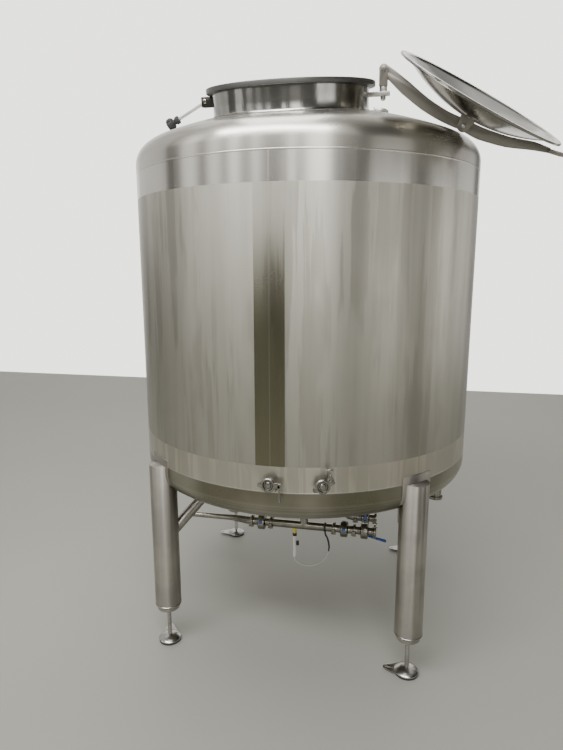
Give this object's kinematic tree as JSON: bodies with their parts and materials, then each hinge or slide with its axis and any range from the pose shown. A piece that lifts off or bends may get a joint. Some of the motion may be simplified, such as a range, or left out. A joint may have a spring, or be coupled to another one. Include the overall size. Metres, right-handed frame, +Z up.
{
  "type": "upright storage tank",
  "caption": "Upright round steel tank on tubular legs, with an offset manway, a flip-over lid on a curved arm, a swing bolt, and valved pipework under its dished bottom.",
  "frame": {"origin": "on the floor, under the middle of the box around the whole tank with its lid open", "axes": "+Z up, -Y towards the manway side that the picture shows, +X towards the open lid"},
  "size_m": [1.7602, 1.551, 2.4609],
  "materials": {
    "satin_steel": "satin ground stainless steel with soft grain",
    "polished_steel": "bright polished stainless steel",
    "cast_steel": "dull dark cast stainless steel",
    "black_plastic": "matt black",
    "black_rubber": "matt black",
    "seal_rubber": "pale, smooth",
    "blue_plastic": "dark blue, slightly glossy",
    "yellow_plastic": "dull yellow",
    "white_plastic": "off-white, smooth"
  },
  "bodies": {
    "tank": {"shell_plate_1": "satin_steel", "shell_plate_2": "satin_steel", "shell_plate_3": "satin_steel", "shell_plate_4": "satin_steel", "shell_plate_5": "satin_steel", "shell_plate_6": "satin_steel", "bottom_head": "satin_steel", "top_head": "satin_steel", "manway_neck": "polished_steel", "manway_rim": "satin_steel", "hinge_bracket": "satin_steel", "hinge_stud": "polished_steel", "hinge_clevis": "cast_steel", "latch_lug": "satin_steel", "leg_front_left": "satin_steel", "foot_front_left": "polished_steel", "foot_pad_front_left": "black_rubber", "leg_front_right": "satin_steel", "foot_front_right": "polished_steel", "foot_pad_front_right": "black_rubber", "leg_rear_right": "satin_steel", "foot_rear_right": "polished_steel", "foot_pad_rear_right": "black_rubber", "leg_rear_left": "satin_steel", "foot_rear_left": "polished_steel", "foot_pad_rear_left": "black_rubber", "brace_front_left": "satin_steel", "brace_rear_left": "satin_steel", "blind_stub_1": "satin_steel", "blind_clamp_1": "polished_steel", "blind_stub_2": "satin_steel", "blind_clamp_2": "polished_steel", "main_pipe": "polished_steel", "reducer_and_thin_pipe": "polished_steel", "valve_1": "polished_steel", "valve_2": "polished_steel", "valve_3": "polished_steel", "valve_4": "polished_steel", "bottom_outlet": "polished_steel", "second_outlet": "polished_steel", "side_nozzle": "polished_steel", "vent_nozzle": "polished_steel", "probe_fitting": "yellow_plastic", "probe_collar": "black_plastic", "probe_body": "white_plastic", "probe_clip": "black_plastic", "probe_cable": "black_plastic", "cable_clip": "black_plastic"},
    "lid_arm": {"lid_arm": "cast_steel"},
    "lid": {"lid_dish": "polished_steel", "lid_seal": "seal_rubber", "lid_lug": "cast_steel"},
    "swing_bolt": {"swing_bolt": "polished_steel"},
    "hand_knob": {"hand_knob": "black_plastic"},
    "lever_1": {"valve_lever_1": "blue_plastic"},
    "lever_2": {"valve_lever_2": "blue_plastic"},
    "lever_3": {"valve_lever_3": "blue_plastic"},
    "lever_4": {"valve_lever_4": "blue_plastic"}
  },
  "joints": [
    {"name": "lid_arm_hinge", "type": "hinge", "parent": "tank", "child": "lid_arm", "pos_m": [0.225, -0.36162, 2.37874], "axis": [0, -0.9796, -0.2011], "range_deg": [0, 202.26]},
    {"name": "lid_rock", "type": "hinge", "parent": "lid_arm", "child": "lid", "pos_m": [0.5216, -0.32047, 2.17831], "axis": [-0.6879, -0.6974, 0.2013], "range_deg": [0, 12.02]},
    {"name": "swing_bolt_hinge", "type": "hinge", "parent": "tank", "child": "swing_bolt", "pos_m": [-0.469, -0.34754, 2.31017], "axis": [0, 0.9796, 0.2011], "range_deg": [0, 111.5]},
    {"name": "hand_knob_turn", "type": "hinge", "parent": "swing_bolt", "child": "hand_knob", "pos_m": [-0.469, -0.34754, 2.31017], "axis": [-0.9026, 0.0866, -0.4217], "continuous": true},
    {"name": "lever_1_turn", "type": "hinge", "parent": "tank", "child": "lever_1", "pos_m": [-0.349, 0.06939, 0.34277], "axis": [0, 0.9511, -0.309], "range_deg": [-90, 0]},
    {"name": "lever_2_turn", "type": "hinge", "parent": "tank", "child": "lever_2", "pos_m": [0.079, 0.06939, 0.34277], "axis": [0, 0.9511, -0.309], "range_deg": [0, 90]},
    {"name": "lever_3_turn", "type": "hinge", "parent": "tank", "child": "lever_3", "pos_m": [0.181, 0.05419, 0.32023], "axis": [0, 0.6428, -0.766], "range_deg": [-12, 78]},
    {"name": "lever_4_turn", "type": "hinge", "parent": "tank", "child": "lever_4", "pos_m": [0.176, 0.13061, 0.37323], "axis": [0, -0.9511, 0.309], "range_deg": [-90, 0]}
  ],
  "couplings": [
    {"joint": "lid_rock", "follows": "lid_arm_hinge", "ratio": 0.05941}
  ]
}
